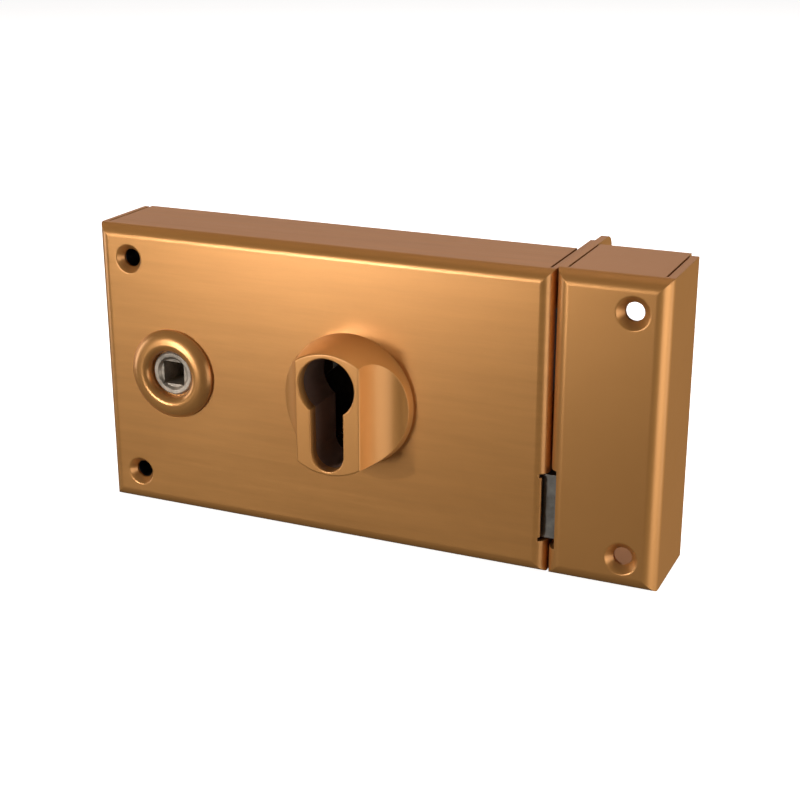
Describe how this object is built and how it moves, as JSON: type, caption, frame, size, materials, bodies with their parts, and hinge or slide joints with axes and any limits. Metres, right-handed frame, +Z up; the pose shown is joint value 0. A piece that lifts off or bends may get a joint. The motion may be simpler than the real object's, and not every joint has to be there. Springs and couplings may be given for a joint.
{
  "type": "rim door lock",
  "caption": "Surface-mounted rim door lock in a folded bronze case with a profile cylinder hole, spindle follower, spring latch, sliding deadbolt and a separate box keeper.",
  "frame": {"origin": "on the door face of the lock's back plate, at the case's mid-height, halfway between the spindle axis and the cylinder axis", "axes": "+X from the lock case towards the keeper, +Y from the room into the door, +Z up"},
  "size_m": [0.175, 0.0606, 0.0889],
  "materials": {
    "case_lacquer": "bronze satin lacquer over fine brushed sheet",
    "keeper_lacquer": "bronze satin lacquer over sheet",
    "rosette_lacquer": "bronze satin lacquer over a zinc casting",
    "ring_lacquer": "bronze satin lacquer over a zinc casting",
    "liner_plastic": "dark brown moulded plastic",
    "zinc_plate": "bright zinc plated stamped sheet",
    "zinc_steel": "zinc plated turned steel",
    "screw_steel": "zinc plated screw",
    "bush_brass": "turned brass",
    "spring_steel": "oiled spring steel",
    "follower_cast": "bare cast steel, worn bright on the rim",
    "latch_steel": "ground steel",
    "bolt_steel": "ground steel"
  },
  "bodies": {
    "lock_case": {"case_cover": "case_lacquer", "back_plate": "zinc_plate", "keeper_box": "keeper_lacquer", "cylinder_rosette": "rosette_lacquer", "cylinder_liner": "liner_plastic", "rosette_screws": "zinc_steel", "spindle_ring": "ring_lacquer", "follower_bush": "bush_brass", "fixing_sleeves": "spring_steel", "cover_screws": "screw_steel", "cylinder_screw": "screw_steel", "latch_guide_bracket": "zinc_plate", "guide_rivets": "zinc_steel", "lever_clip": "spring_steel", "lever_pivot_stud": "zinc_steel", "latch_tail_guide_post": "zinc_steel", "handle_spring_post": "zinc_steel", "detent_spring_posts": "zinc_steel", "handle_spring": "spring_steel", "latch_spring": "spring_steel", "detent_spring": "spring_steel"},
    "handle_follower": {"follower": "follower_cast"},
    "latch": {"latch_head": "latch_steel", "latch_tail": "zinc_plate", "latch_rivets": "zinc_steel", "latch_pin": "zinc_steel"},
    "deadbolt": {"deadbolt_head": "bolt_steel", "deadbolt_tail": "zinc_plate", "deadbolt_rivets": "zinc_steel"},
    "key_lever": {"key_lever": "zinc_plate"}
  },
  "joints": [
    {"name": "handle_turn", "type": "hinge", "parent": "lock_case", "child": "handle_follower", "pos_m": [-0.0294, 0, 0], "axis": [0, 1, 0], "range_deg": [0, 35], "deforming": ["handle_spring"]},
    {"name": "latch_slide", "type": "slide", "parent": "lock_case", "child": "latch", "axis": [1, 0, 0], "range_m": [-0.0122, 0], "stiffness_N_per_m": 450, "springref_m": 0.008, "deforming": ["latch_spring"]},
    {"name": "key_lever_swing", "type": "hinge", "parent": "lock_case", "child": "key_lever", "pos_m": [0.0064, 0, 0.028], "axis": [0, 1, 0], "range_deg": [0, 13.27]},
    {"name": "deadbolt_throw", "type": "slide", "parent": "lock_case", "child": "deadbolt", "axis": [1, 0, 0], "range_m": [0, 0.02], "deforming": ["detent_spring"]}
  ],
  "couplings": [
    {"joint": "handle_turn", "follows": "latch_slide", "rad_per_m": -50.071},
    {"joint": "key_lever_swing", "follows": "latch_slide", "rad_per_m": -18.977}
  ]
}
